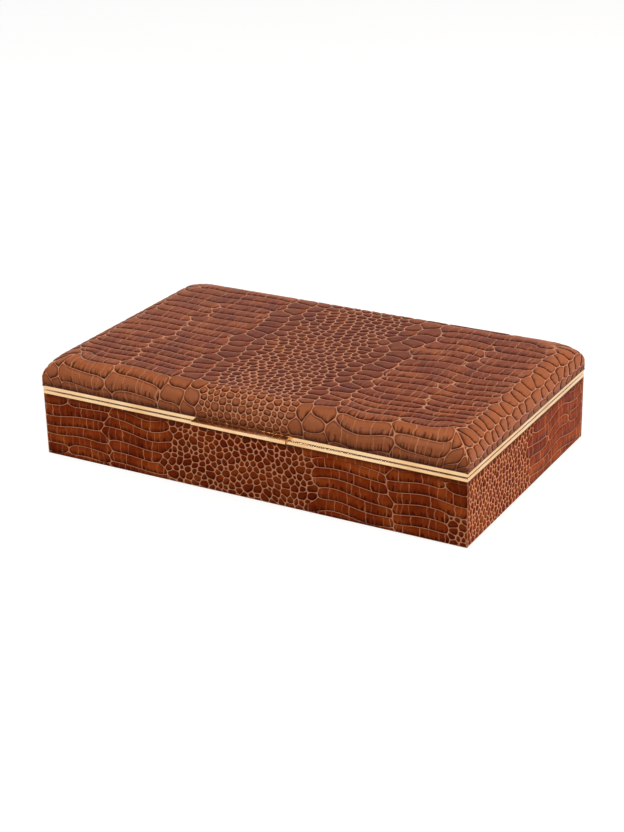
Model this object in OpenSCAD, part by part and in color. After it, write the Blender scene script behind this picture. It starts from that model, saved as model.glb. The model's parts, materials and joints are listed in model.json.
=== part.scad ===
// Stationery box with a hinged lid: wooden boards covered in embossed leather,
// with a flat brass bar round each meeting edge and a brass thumb tab at the front.
// All sizes are in millimetres. The origin is the centre of the underside,
// +X points to the right, -Y to the front and +Z up. The lid is drawn closed.

/* [Overall size] */
// Width over the brass edge bars
box_w = 360; // [300:1:420]
// Depth over the brass edge bars, front to back
box_d = 215.5; // [180:0.5:260]
// Height of the lower part, from the table to the top of its brass edge
base_h = 53.85; // [45:0.05:80]
// Height of the lid, from the underside of its brass edge to its top
lid_h = 25.95; // [24:0.05:34]
// Gap between the two brass edges, kept open by the bumpers
rim_gap = 0.7; // [0.5:0.05:1.2]

/* [Boards] */
// Thickness of the four wooden walls
wall_t = 8; // [7:0.5:12]
// Thickness of the floor board
floor_t = 5; // [4:0.5:9]
// Thickness of the board that makes the top of the lid
lid_board_t = 6.8; // [5:0.1:9]
// How far the floor board is let into each wall
floor_housing = 4; // [2:0.5:5]
// Gap left round the floor board in its housing
board_gap = 0.2; // [0.1:0.05:0.5]

/* [Leather cover] */
// Thickness of the leather
leather_t = 1.2; // [0.8:0.1:1.8]
// How far the lid's leather stands out past the brass below it
lid_overhang = 0.5; // [0.2:0.1:0.8]
// Width of the rounded edge round the top of the lid, seen from above
edge_run = 13.9; // [10:0.1:18]
// Height of the rounded edge round the top of the lid
edge_rise = 16.5; // [12:0.1:18]
// Fullness of the rounded edge: 2 is an ellipse, less is flatter
edge_power = 1.84; // [1.6:0.01:2.4]
// Corner radius of the lid's outline where it meets the brass
corner_low = 0.4; // [0.3:0.1:4]
// Corner radius of the flat top of the lid
corner_top = 26; // [14:0.5:36]
// Height of the leather's lower edge above the table
hem_lift = 0.4; // [0.2:0.1:0.8]

/* [Brass edges] */
// Height of the bar on the lower part
base_rim_h = 3; // [2.5:0.1:4]
// Height of the bar on the lid
lid_rim_h = 2.7; // [2.5:0.1:4]

/* [Lining and pads] */
// Thickness of the suede-covered lining boards
lining_t = 1.5; // [1:0.1:2]
// Thickness of the pad that the box stands on
pad_t = 1; // [0.6:0.1:2]
// How far the pad's edge stays in from the box's outline
pad_inset = 2; // [1.5:0.5:10]
// Radius of a bumper
bumper_r = 2.5; // [1.5:0.1:3.5]
// Depth of the blind hole that holds a bumper
bumper_seat = 1; // [0.6:0.1:1.5]
// Distance of a bumper from the side of the box
bumper_inset = 22; // [16:1:30]
// Gap round a bumper in its hole
bumper_gap = 0.05; // [0.02:0.01:0.1]

/* [Thumb tab] */
// Width of the thumb tab
tab_w = 80; // [50:1:110]
// How far the tab stands out from the brass
tab_out = 7; // [4:0.5:10]
// Thickness of the tab at its front edge
tab_t = 2.4; // [1.8:0.1:2.5]
// How far below the top of the brass the tab's sloping top begins
tab_below = 0.15; // [0.05:0.05:0.8]
// Clearance between the tab and the lower brass edge, below it
tab_gap = 0.1; // [0.05:0.05:0.6]
// Thickness of the tang that is let into the lid's front bar
tang_t = 1.2; // [1:0.1:1.5]
// Depth of the tang, front to back
tang_in = 8.4; // [8:0.1:9]
// Distance of a tab screw from the end of the tab
tab_screw_inset = 14; // [8:1:20]

/* [Hinges] */
// Length of each hinge
hinge_len = 50; // [40:1:70]
// Distance from the side of the box to the middle of a hinge
hinge_inset = 75; // [65:1:95]
// Thickness of a hinge leaf
leaf_t = 1.5; // [1.2:0.1:1.8]
// How far a leaf reaches in from the back of the box
leaf_in = 8.6; // [8:0.1:9]
// Outer radius of the knuckles
knuckle_r = 2.5; // [2.3:0.1:3]
// Number of knuckles on one hinge, odd
knuckle_n = 5; // [3:2:7]
// Radius of the hinge pin
pin_r = 1.2; // [1:0.1:1.4]
// Running clearance between the pin and its bores
pin_gap = 0.05; // [0.02:0.01:0.1]
// Gap between neighbouring knuckles
knuckle_gap = 0.2; // [0.15:0.05:0.3]
// Gap between a knuckle and what it passes
barrel_gap = 0.2; // [0.2:0.05:0.4]
// Thickness of the riveted head on each end of the pin
pin_head_t = 0.7; // [0.5:0.1:1]
// Radius of that head
pin_head_r = 1.8; // [1.6:0.1:2]
// Radius that the stop lips behind the barrel reach to
stop_r = 5.2; // [4.8:0.1:6.5]
// Thickness of a stop lip
stop_t = 1.2; // [1:0.1:1.6]
// Angle at which the two stop lips meet
stop_angle = 95.3; // [90.3:0.5:110.3]

/* [Screws] */
// Number of screws in a hinge leaf
leaf_screws = 3; // [2:1:4]
// Radius of a screw's head
head_r = 1.9; // [1.6:0.1:2.1]
// Height of a screw's countersunk head
head_h = 0.9; // [0.7:0.1:1]
// Radius of a screw's shank
shank_r = 0.9; // [0.7:0.1:1.1]
// Whole length of a screw
screw_len = 8; // [6:0.5:10]
// Width of the slot in a screw's head
slot_w = 0.5; // [0.4:0.1:0.7]
// Depth of the slot in a screw's head
slot_d = 0.45; // [0.3:0.05:0.5]
// Gap round a screw in its hole
screw_gap = 0.05; // [0.03:0.01:0.1]
// Gap round a leaf or a tang in its recess
recess_gap = 0.1; // [0.05:0.05:0.3]

/* [Hidden] */
$fn = 48;
eps = 0.01;

// Colours as the box shows them
leather_colour = "#7a3420";
brass_colour = "#e6c294";
wood_colour = "#c9a374";
suede_colour = "#5a2a1e";
felt_colour = "#33261f";

// The sides of the box are numbered front, right, back, left
FRONT = 0;
RIGHT = 1;
BACK = 2;
LEFT = 3;

half_w = box_w / 2;
half_d = box_d / 2;

// Heights
z_wall = pad_t;
z_floor = z_wall + floor_t;
z_lining = z_floor + lining_t;
z_base_top = base_h;
z_base_rim = z_base_top - base_rim_h;
z_lid_low = z_base_top + rim_gap;
z_tab = z_base_top + tab_gap;
z_lid_rim = z_lid_low + lid_rim_h;
z_top = z_lid_low + lid_h;
z_edge = z_top - edge_rise;
z_core_top = z_top - leather_t;
z_board = z_core_top - lid_board_t;
z_recess = z_board - lining_t;

// Distances in from the outer face of the brass
wall_out = leather_t;
wall_in = wall_out + wall_t;
rim_w = wall_in + lining_t;
screw_line = wall_out + wall_t / 2;
rebate = wall_t / 2;

// The hinge axis lies midway between the two brass edges, just behind the back
y_axis = half_d + barrel_gap * 2 + knuckle_r;
z_axis = z_base_top + rim_gap / 2;
leaf_back = half_d + barrel_gap;
knuckle_pitch = hinge_len / knuckle_n;
hinge_x = half_w - hinge_inset;
screw_pitch = hinge_len / leaf_screws;

// Corners of a rectangle about the origin, in the order of the sides
function corners(hw, hd) = [[-hw, -hd], [hw, -hd], [hw, hd], [-hw, hd]];

// Points round a rectangle with rounded corners, anticlockwise from above
corner_steps = 10;
ring_n = 4 * (corner_steps + 1);
function ring(hw, hd, r, z) = [
    for (c = [0 : 3])
        for (k = [0 : corner_steps])
            let (a = 180 + 90 * c + 90 * k / corner_steps)
            let (m = corners(hw - r, hd - r)[c])
            [m[0] + r * cos(a), m[1] + r * sin(a), z]
];

// The lid's rounded edge: step t runs from 0 at the side to 90 at the top
edge_steps = 14;
function edge_in(t) = edge_run * (1 - pow(cos(t), 2 / edge_power));
function edge_up(t) = pow(sin(t), 2 / edge_power);
function corner_at(t) = corner_low + (corner_top - corner_low) * edge_in(t) / edge_run;

// Rings of the lid's surface, moved inwards by s
function lid_ring(t, z, s) = ring(half_w + lid_overhang - s - edge_in(t),
    half_d + lid_overhang - s - edge_in(t), max(corner_at(t) - s, corner_low / 2), z);
function lid_rings(s) = concat(
    [lid_ring(0, z_lid_rim, s)],
    [for (i = [0 : edge_steps])
        let (t = 90 * i / edge_steps)
        lid_ring(t, z_edge + (edge_rise - s) * edge_up(t), s)]
);

function flatten(l) = [for (a = l) for (b = a) b];
function next(j) = (j + 1) % ring_n;

// Side faces between neighbouring rings, seen from outside or from inside
function faces_out(first, rings) = [
    for (i = [0 : rings - 2])
        for (j = [0 : ring_n - 1])
            let (a = first + i * ring_n)
            [a + j, a + ring_n + j, a + ring_n + next(j), a + next(j)]
];
function faces_in(first, rings) = [
    for (f = faces_out(first, rings)) [f[3], f[2], f[1], f[0]]
];
function cap_up(first) = [for (j = [0 : ring_n - 1]) first + ring_n - 1 - j];
function cap_down(first) = [for (j = [0 : ring_n - 1]) first + j];

// The lid's solid core, the shape that the leather is drawn over
module lid_core() {
    rings = lid_rings(leather_t);
    m = len(rings);
    polyhedron(points = flatten(rings),
        faces = concat([cap_down(0)], faces_out(0, m), [cap_up((m - 1) * ring_n)]));
}

// The leather alone, an outer and an inner surface joined along the lower edge
module lid_shell() {
    outer = lid_rings(0);
    inner = lid_rings(leather_t);
    m = len(outer);
    b = m * ring_n;
    hem = [for (j = [0 : ring_n - 1]) [j, next(j), b + next(j), b + j]];
    polyhedron(points = concat(flatten(outer), flatten(inner)),
        faces = concat(faces_out(0, m), [cap_up((m - 1) * ring_n)],
            faces_in(b, m), [cap_down(b + (m - 1) * ring_n)], hem));
}

// A flat bar along one side of a rectangle, with both ends mitred
module edge_bar(side, hw, hd, width, z, h) {
    far = corners(hw, hd);
    near = corners(hw - width, hd - width);
    e = (side + 1) % 4;
    translate([0, 0, z])
        linear_extrude(height = h)
            polygon([far[side], far[e], near[e], near[side]]);
}

// A box given by its low corner and its high corner
module block(a, b) {
    translate(a)
        cube([b[0] - a[0], b[1] - a[1], b[2] - a[2]]);
}

// Moves something drawn at the front to the back or the right to the left
module turned(side) {
    rotate([0, 0, side == BACK || side == LEFT ? 180 : 0])
        children();
}

// A countersunk screw, head up, with the top of the head at the origin
module screw(gap = 0) {
    rotate_extrude()
        polygon([[0, gap], [head_r + gap, gap], [head_r + gap, 0],
            [shank_r + gap, -head_h], [shank_r + gap, -screw_len + 1],
            [0.2, -screw_len - gap], [0, -screw_len - gap]]);
}

module slotted_screw() {
    difference() {
        screw();
        translate([-head_r - 1, -slot_w / 2, -slot_d])
            cube([2 * head_r + 2, slot_w, slot_d + 1]);
    }
}

// Places of the hinge screws, for the hinge at x
function leaf_screw_x(x) = [
    for (i = [0 : leaf_screws - 1]) x - hinge_len / 2 + screw_pitch * (i + 0.5)
];

// The screws of the lower part point down and those of the lid point up
module base_screws_at(x, gap = 0, slots = false) {
    for (sx = leaf_screw_x(x))
        translate([sx, half_d - screw_line, z_base_top])
            if (slots) slotted_screw();
            else screw(gap);
}

module lid_screws_at(x, gap = 0, slots = false) {
    for (sx = leaf_screw_x(x))
        translate([sx, half_d - screw_line, z_lid_low])
            rotate([180, 0, 0])
                if (slots) slotted_screw();
                else screw(gap);
}

module tab_screws_at(gap = 0, slots = false) {
    for (s = [-1, 1])
        translate([s * (tab_w / 2 - tab_screw_inset), -half_d + screw_line, z_lid_low])
            rotate([180, 0, 0])
                if (slots) slotted_screw();
                else screw(gap);
}

// Recess for a hinge leaf, cut into an edge bar's face at height z
module leaf_recess(x, z, depth) {
    block([x - hinge_len / 2 - recess_gap, half_d - leaf_in - recess_gap, z],
        [x + hinge_len / 2 + recess_gap, half_d + 1, z + depth]);
}

// Lower part: a wall along the front or the back, rebated for the side walls
module long_wall(side) {
    hx = half_w - wall_out;
    difference() {
        turned(side)
            difference() {
                block([-hx, -half_d + wall_out, z_wall], [hx, -half_d + wall_in, z_base_rim]);
                for (s = [-1, 1])
                    translate([s * (hx - wall_t / 2), -half_d + wall_out + rebate + wall_t / 2, 0])
                        cube([wall_t + eps, wall_t, 3 * base_h], center = true);
                floor_pocket();
            }
        if (side == BACK)
            for (s = [-1, 1])
                base_screws_at(s * hinge_x, screw_gap);
    }
}

// Lower part: a wall along the left or the right, its ends in the rebates
module short_wall(side) {
    hy = half_d - wall_out - rebate;
    turned(side)
        difference() {
            block([half_w - wall_in, -hy, z_wall], [half_w - wall_out, hy, z_base_rim]);
            floor_pocket();
        }
}

// The room for the floor board in the walls
module floor_pocket() {
    px = half_w - wall_in + floor_housing;
    py = half_d - wall_in + floor_housing;
    block([-px, -py, z_wall - 1], [px, py, z_floor]);
}

module base_floor_board() {
    px = half_w - wall_in + floor_housing - board_gap;
    py = half_d - wall_in + floor_housing - board_gap;
    color(wood_colour)
        block([-px, -py, z_wall], [px, py, z_floor]);
}

module base_front_wall() {
    color(wood_colour) long_wall(FRONT);
}

module base_right_wall() {
    color(wood_colour) short_wall(RIGHT);
}

module base_back_wall() {
    color(wood_colour) long_wall(BACK);
}

module base_left_wall() {
    color(wood_colour) short_wall(LEFT);
}

// Leather panels of the lower part: the long ones cover the ends of the short ones
module long_leather(side) {
    turned(side)
        block([-half_w, -half_d, hem_lift], [half_w, -half_d + leather_t, z_base_rim]);
}

module short_leather(side) {
    hy = half_d - leather_t;
    turned(side)
        block([half_w - leather_t, -hy, hem_lift], [half_w, hy, z_base_rim]);
}

module base_leather_front() {
    color(leather_colour) long_leather(FRONT);
}

module base_leather_right() {
    color(leather_colour) short_leather(RIGHT);
}

module base_leather_back() {
    color(leather_colour) long_leather(BACK);
}

module base_leather_left() {
    color(leather_colour) short_leather(LEFT);
}

// Brass edge of the lower part, with seats for the bumpers and the hinge leaves
module base_rim(side) {
    difference() {
        edge_bar(side, half_w, half_d, rim_w, z_base_rim, base_rim_h);
        if (side == FRONT || side == BACK)
            for (s = [-1, 1])
                translate([s * (half_w - bumper_inset), (side == FRONT ? -1 : 1) * (half_d - rim_w / 2),
                        z_base_top - bumper_seat])
                    cylinder(r = bumper_r + bumper_gap, h = bumper_seat + 1);
        if (side == BACK)
            for (s = [-1, 1]) {
                leaf_recess(s * hinge_x, z_base_top - leaf_t, leaf_t + 1);
                base_screws_at(s * hinge_x, screw_gap);
            }
    }
}

module base_rim_front() {
    color(brass_colour) base_rim(FRONT);
}

module base_rim_right() {
    color(brass_colour) base_rim(RIGHT);
}

module base_rim_back() {
    color(brass_colour) base_rim(BACK);
}

module base_rim_left() {
    color(brass_colour) base_rim(LEFT);
}

// Lining boards: the long ones cover the ends of the short ones
module long_lining(side, z, top) {
    hx = half_w - wall_in;
    turned(side)
        block([-hx, -half_d + wall_in, z], [hx, -half_d + rim_w, top]);
}

module short_lining(side, z, top) {
    hy = half_d - rim_w;
    turned(side)
        block([half_w - rim_w, -hy, z], [half_w - wall_in, hy, top]);
}

module flat_lining(z, top) {
    block([-half_w + wall_in, -half_d + wall_in, z], [half_w - wall_in, half_d - wall_in, top]);
}

module base_lining_front() {
    color(suede_colour) long_lining(FRONT, z_lining, z_base_rim);
}

module base_lining_right() {
    color(suede_colour) short_lining(RIGHT, z_lining, z_base_rim);
}

module base_lining_back() {
    color(suede_colour) long_lining(BACK, z_lining, z_base_rim);
}

module base_lining_left() {
    color(suede_colour) short_lining(LEFT, z_lining, z_base_rim);
}

module base_lining_floor() {
    color(suede_colour) flat_lining(z_floor, z_lining);
}

module underside_pad() {
    color(felt_colour)
        block([-half_w + pad_inset, -half_d + pad_inset, 0],
            [half_w - pad_inset, half_d - pad_inset, pad_t]);
}

// Four bumpers set in the lower brass edge, which carry the closed lid
module rim_bumpers() {
    color(suede_colour)
        for (sx = [-1, 1], sy = [-1, 1])
            translate([sx * (half_w - bumper_inset), sy * (half_d - rim_w / 2),
                    z_base_top - bumper_seat])
                cylinder(r = bumper_r, h = bumper_seat + rim_gap);
}

// Start and end of knuckle i on the hinge at x
function knuckle_from(x, i) = x - hinge_len / 2 + knuckle_pitch * i + knuckle_gap / 2;
function knuckle_to(x, i) = x - hinge_len / 2 + knuckle_pitch * (i + 1) - knuckle_gap / 2;

// A round bar along X on the hinge axis
module axis_rod(x0, x1, r) {
    translate([x0, y_axis, z_axis])
        rotate([0, 90, 0])
            cylinder(r = r, h = x1 - x0);
}

// A radial strip behind the barrel; up is 1 for the lid's and -1 for the base's
module stop_lip(x0, x1, r0, up) {
    translate([x0, y_axis, z_axis])
        rotate([up * stop_angle / 2, 0, 0])
            translate([0, r0, up > 0 ? 0 : -stop_t])
                cube([x1 - x0, stop_r - r0, stop_t]);
}

// A hinge leaf with its knuckles: first is 0 for the base's and 1 for the lid's
module hinge_leaf(x, first, up, z) {
    x0 = x - hinge_len / 2 + knuckle_gap / 2;
    x1 = x + hinge_len / 2 - knuckle_gap / 2;
    difference() {
        union() {
            block([x0, half_d - leaf_in, z], [x1, leaf_back, z + leaf_t]);
            stop_lip(x0, x1, knuckle_r + barrel_gap, up);
            for (i = [first : 2 : knuckle_n - 1]) {
                a = knuckle_from(x, i);
                b = knuckle_to(x, i);
                axis_rod(a, b, knuckle_r);
                block([a, half_d, z], [b, y_axis, z + leaf_t]);
                stop_lip(a, b, (knuckle_r + pin_r) / 2, up);
            }
        }
        axis_rod(x0 - 1, x1 + 1, pin_r + pin_gap);
    }
}

module base_leaf(x) {
    color(brass_colour)
        difference() {
            hinge_leaf(x, 0, -1, z_base_top - leaf_t);
            base_screws_at(x, screw_gap);
        }
}

module lid_leaf(x) {
    color(brass_colour)
        difference() {
            hinge_leaf(x, 1, 1, z_lid_low);
            lid_screws_at(x, screw_gap);
        }
}

module base_hinge_leaf_left() {
    base_leaf(-hinge_x);
}

module base_hinge_leaf_right() {
    base_leaf(hinge_x);
}

module lid_hinge_leaf_left() {
    lid_leaf(-hinge_x);
}

module lid_hinge_leaf_right() {
    lid_leaf(hinge_x);
}

// The pin runs through all the knuckles, with a riveted head at each end
module hinge_pin(x) {
    x0 = x - hinge_len / 2 + knuckle_gap / 2;
    x1 = x + hinge_len / 2 - knuckle_gap / 2;
    color(brass_colour)
        union() {
            axis_rod(x0, x1, pin_r);
            axis_rod(x0 - pin_head_t, x0, pin_head_r);
            axis_rod(x1, x1 + pin_head_t, pin_head_r);
        }
}

module hinge_pin_left() {
    hinge_pin(-hinge_x);
}

module hinge_pin_right() {
    hinge_pin(hinge_x);
}

module base_hinge_screws_left() {
    color(brass_colour) base_screws_at(-hinge_x, slots = true);
}

module base_hinge_screws_right() {
    color(brass_colour) base_screws_at(hinge_x, slots = true);
}

module lid_hinge_screws_left() {
    color(brass_colour) lid_screws_at(-hinge_x, slots = true);
}

module lid_hinge_screws_right() {
    color(brass_colour) lid_screws_at(hinge_x, slots = true);
}

// Lid: four mitred rails and a top board, all cut from the shape under the leather
module lid_rail(side) {
    difference() {
        intersection() {
            lid_core();
            edge_bar(side, half_w + lid_overhang, half_d + lid_overhang,
                wall_in + lid_overhang, z_lid_rim, z_board - z_lid_rim);
        }
        if (side == BACK)
            for (s = [-1, 1])
                lid_screws_at(s * hinge_x, screw_gap);
        if (side == FRONT)
            tab_screws_at(screw_gap);
    }
}

module lid_front_rail() {
    color(wood_colour) lid_rail(FRONT);
}

module lid_right_rail() {
    color(wood_colour) lid_rail(RIGHT);
}

module lid_back_rail() {
    color(wood_colour) lid_rail(BACK);
}

module lid_left_rail() {
    color(wood_colour) lid_rail(LEFT);
}

module lid_top_board() {
    color(wood_colour)
        intersection() {
            lid_core();
            block([-box_w, -box_d, z_board], [box_w, box_d, z_top + 1]);
        }
}

module lid_leather() {
    color(leather_colour) lid_shell();
}

// Brass edge of the lid, with recesses for the hinge leaves and the tab's tang
module lid_rim(side) {
    difference() {
        edge_bar(side, half_w, half_d, rim_w, z_lid_low, lid_rim_h);
        if (side == BACK)
            for (s = [-1, 1]) {
                leaf_recess(s * hinge_x, z_lid_low - 1, leaf_t + 1);
                lid_screws_at(s * hinge_x, screw_gap);
            }
        if (side == FRONT) {
            block([-tab_w / 2 - recess_gap, -half_d - 1, z_lid_low - 1],
                [tab_w / 2 + recess_gap, -half_d + tang_in + recess_gap, z_lid_low + tang_t]);
            tab_screws_at(screw_gap);
        }
    }
}

module lid_rim_front() {
    color(brass_colour) lid_rim(FRONT);
}

module lid_rim_right() {
    color(brass_colour) lid_rim(RIGHT);
}

module lid_rim_back() {
    color(brass_colour) lid_rim(BACK);
}

module lid_rim_left() {
    color(brass_colour) lid_rim(LEFT);
}

module lid_lining_front() {
    color(suede_colour) long_lining(FRONT, z_lid_rim, z_recess);
}

module lid_lining_right() {
    color(suede_colour) short_lining(RIGHT, z_lid_rim, z_recess);
}

module lid_lining_back() {
    color(suede_colour) long_lining(BACK, z_lid_rim, z_recess);
}

module lid_lining_left() {
    color(suede_colour) short_lining(LEFT, z_lid_rim, z_recess);
}

module lid_lining_top() {
    color(suede_colour) flat_lining(z_recess, z_board);
}

// The thumb tab: a thick lip in front, which reaches down over the dark gap and slopes
// up to the top of the bar, and a thinner tang under the front bar
module thumb_tab() {
    color(brass_colour)
        difference() {
            translate([-tab_w / 2, 0, 0]) rotate([90, 0, 90]) linear_extrude(height = tab_w) polygon([
                [-half_d - tab_out, z_tab], [-half_d, z_tab], [-half_d, z_lid_low],
                [-half_d + tang_in, z_lid_low], [-half_d + tang_in, z_lid_low + tang_t],
                [-half_d, z_lid_low + tang_t], [-half_d, z_lid_rim - tab_below],
                [-half_d - tab_out, z_tab + tab_t]]);
            tab_screws_at(screw_gap);
        }
}

module tab_screws() {
    color(brass_colour) tab_screws_at(slots = true);
}

base_front_wall();
base_right_wall();
base_back_wall();
base_left_wall();
base_floor_board();
base_leather_front();
base_leather_right();
base_leather_back();
base_leather_left();
base_rim_front();
base_rim_right();
base_rim_back();
base_rim_left();
base_lining_front();
base_lining_right();
base_lining_back();
base_lining_left();
base_lining_floor();
underside_pad();
rim_bumpers();
base_hinge_leaf_left();
base_hinge_leaf_right();
hinge_pin_left();
hinge_pin_right();
base_hinge_screws_left();
base_hinge_screws_right();
lid_front_rail();
lid_right_rail();
lid_back_rail();
lid_left_rail();
lid_top_board();
lid_leather();
lid_rim_front();
lid_rim_right();
lid_rim_back();
lid_rim_left();
lid_lining_front();
lid_lining_right();
lid_lining_back();
lid_lining_left();
lid_lining_top();
lid_hinge_leaf_left();
lid_hinge_leaf_right();
lid_hinge_screws_left();
lid_hinge_screws_right();
thumb_tab();
tab_screws();
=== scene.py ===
# %% [markdown]
# # A leather stationery box, dressed for the camera
#
# The construction model gives every piece its place and its size. This lesson gives
# the pieces their looks: embossed leather, polished brass, suede and felt. All
# measures here are in millimetres until a mesh is made, and in metres after that.

# %% Load the frame
import json
import math
import random
from functools import partial

import bmesh
import bpy
import numpy as np
from mathutils import Matrix, Vector
from mathutils.geometry import delaunay_2d_cdt

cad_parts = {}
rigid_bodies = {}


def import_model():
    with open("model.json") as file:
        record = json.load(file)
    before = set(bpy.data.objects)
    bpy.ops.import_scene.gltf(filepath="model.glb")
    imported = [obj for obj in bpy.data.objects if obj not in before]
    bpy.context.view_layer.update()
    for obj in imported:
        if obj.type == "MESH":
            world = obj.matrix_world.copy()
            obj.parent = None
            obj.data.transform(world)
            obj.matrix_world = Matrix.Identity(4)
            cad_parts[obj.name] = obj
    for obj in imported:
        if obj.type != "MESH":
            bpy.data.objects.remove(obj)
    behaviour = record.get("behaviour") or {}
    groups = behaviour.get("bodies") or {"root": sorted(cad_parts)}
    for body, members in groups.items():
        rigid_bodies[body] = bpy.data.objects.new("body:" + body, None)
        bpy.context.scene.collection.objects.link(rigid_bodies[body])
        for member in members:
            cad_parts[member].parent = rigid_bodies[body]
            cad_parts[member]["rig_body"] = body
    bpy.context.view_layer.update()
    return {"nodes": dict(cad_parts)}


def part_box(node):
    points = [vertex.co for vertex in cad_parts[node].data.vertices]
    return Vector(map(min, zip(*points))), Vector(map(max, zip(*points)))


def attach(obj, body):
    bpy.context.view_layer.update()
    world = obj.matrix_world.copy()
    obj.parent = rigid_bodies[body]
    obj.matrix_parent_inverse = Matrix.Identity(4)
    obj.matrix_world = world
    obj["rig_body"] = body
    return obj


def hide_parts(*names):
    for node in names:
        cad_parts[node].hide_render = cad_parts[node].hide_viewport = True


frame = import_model()

# %% [markdown]
# ## The camera
#
# A photograph of straight-edged things can be turned back into a camera: the three
# directions of the box's edges fix the focal length and the viewing angle. The box
# was looked at from the front, turned about 30 degrees to its right-hand side and
# from 23 degrees above, with a long lens held very slightly askew. A long lens keeps
# the far edges almost parallel, as a product photographer wants.

# %% Camera
def put(name, data):
    """A new object in the scene."""
    made = bpy.data.objects.new(name, data)
    bpy.context.scene.collection.objects.link(made)
    return made


camera_data = bpy.data.cameras.new("photo_camera")
camera_data.lens = 77.48
camera_data.sensor_width = camera_data.sensor_height = 36
camera_data.clip_start, camera_data.clip_end = 0.05, 20
camera = put("photo_camera", camera_data)
view_dir = Vector((-0.45591, 0.79831, -0.39351))
view_up = Vector((-0.17584, 0.35263, 0.91909))
turn = Matrix((view_dir.cross(view_up), view_up, -view_dir)).transposed().to_4x4()
camera.matrix_world = Matrix.Translation((0.63626, -1.11912, 0.57558)) @ turn
bpy.context.scene.camera = camera
print("camera: lens", camera_data.lens, "mm at", np.round(camera.location, 3).tolist())

# %% [markdown]
# ## Helpers for materials
#
# Colours are written as designers write them, as sRGB hex values, and one function
# turns them to the linear values that a shader works in. Another adds a node with its
# settings and its links, and hands back one of its outputs as a wire. Wires are added
# and multiplied like numbers, so that each recipe below reads as a short formula.

# %% Helpers for materials
def ink(code):
    """An sRGB hex colour as linear red, green, blue and alpha."""
    parts = [int(code[i:i + 2], 16) / 255 for i in (1, 3, 5)]
    return [*(p / 12.92 if p <= 0.04045 else ((p + 0.055) / 1.055) ** 2.4
              for p in parts), 1]


def feed(node, links):
    """Gives inputs of a node a fixed value or a wire."""
    for key, value in links.items():
        if isinstance(value, Wire):
            node.id_data.links.new(value.socket, node.inputs[key])
        else:
            node.inputs[key].default_value = value


def add(tree, kind, links=None, out=0, stops=(), **settings):
    """Adds a node and hands back one of its outputs. The kind needs no prefix if it is
    its tree's own. Stops are places on a colour ramp, with a colour or a grey each."""
    own = {"SHADER": "ShaderNode", "GEOMETRY": "GeometryNode"}[tree.type]
    made = tree.nodes.new(kind if "Node" in kind else own + kind)
    for key, value in settings.items():
        setattr(made, key, value)
    feed(made, links or {})
    if stops:
        points = made.color_ramp.elements
        while len(points) < len(stops):
            points.new(0.5)
        for point, (place, colour) in zip(points, stops):
            point.position = place
            point.color = colour if isinstance(colour, list) else [colour] * 3 + [1]
    return Wire(tree, made.outputs[out]) if made.outputs else made


class Wire:
    """One output of a node; what is calculated from it becomes a Math node."""
    def __init__(self, tree, socket):
        self.tree, self.socket = tree, socket

    def reckon(self, operation, first, second):
        return add(self.tree, "ShaderNodeMath", {0: first, 1: second}, operation=operation)

    def __add__(self, other):
        return self.reckon("ADD", self, other)

    def __sub__(self, other):
        return self.reckon("SUBTRACT", self, other)

    def __rsub__(self, other):
        return self.reckon("SUBTRACT", other, self)

    def __mul__(self, other):
        return self.reckon("MULTIPLY", self, other)

    def or_more(self, other):
        return self.reckon("MAXIMUM", self, other)


def new_material(name):
    """An empty material, its Principled shader, and what adds nodes to it."""
    made = bpy.data.materials.new(name)
    made.use_nodes = True
    tree = made.node_tree
    return made, tree.nodes["Principled BSDF"], partial(add, tree)


# %% [markdown]
# ## Sizes of the lid's skin
#
# The skin of the lid is one sheet of leather, drawn over a soft-edged board. The flat
# top runs out into a rounded edge, a little flatter than a quarter of an ellipse, and
# then straight down to the brass. The corners are sharp at the brass and grow round
# towards the top, because a sheet can't follow a sharp corner in two directions.

# %% Sizes of the lid's skin
MM = 0.001
EDGE_RUN, EDGE_RISE, EDGE_POWER = 13.9, 16.5, 1.84
CORNER_LOW, CORNER_TOP = 0.4, 26.0
# towards a corner the hide is drawn in over the last 70 mm
DRAWN_IN, DRAWN_IN_LEAST = 70, 30
LEATHER_T = 1.2


def box_of(node):
    """The lowest and the highest corner of a node, in millimetres."""
    return [np.array(corner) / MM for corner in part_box(node)]


def lengths(line):
    """How far along a line each of its points lies."""
    return np.append(0, np.cumsum(np.hypot(*np.diff(line, axis=0).T)))


(_, _, skin_low), (skin_w, skin_d, skin_top) = box_of("lid_leather")
flat_w, flat_d = skin_w - EDGE_RUN, skin_d - EDGE_RUN

# the profile of the edge, and how far along the leather each of its points lies
angle = np.radians(np.linspace(90, 0, 361))
edge_in = np.append(EDGE_RUN * (1 - np.cos(angle) ** (2 / EDGE_POWER)), 0.0)
edge_z = np.append(skin_top - EDGE_RISE + EDGE_RISE * np.sin(angle) ** (2 / EDGE_POWER),
                   skin_low)
edge_s = lengths(np.stack([edge_in, edge_z], 1))
DROP = edge_s[-1]
print("lid skin: flat", round(2 * flat_w), "x", round(2 * flat_d), "drop", round(DROP, 1))


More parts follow.
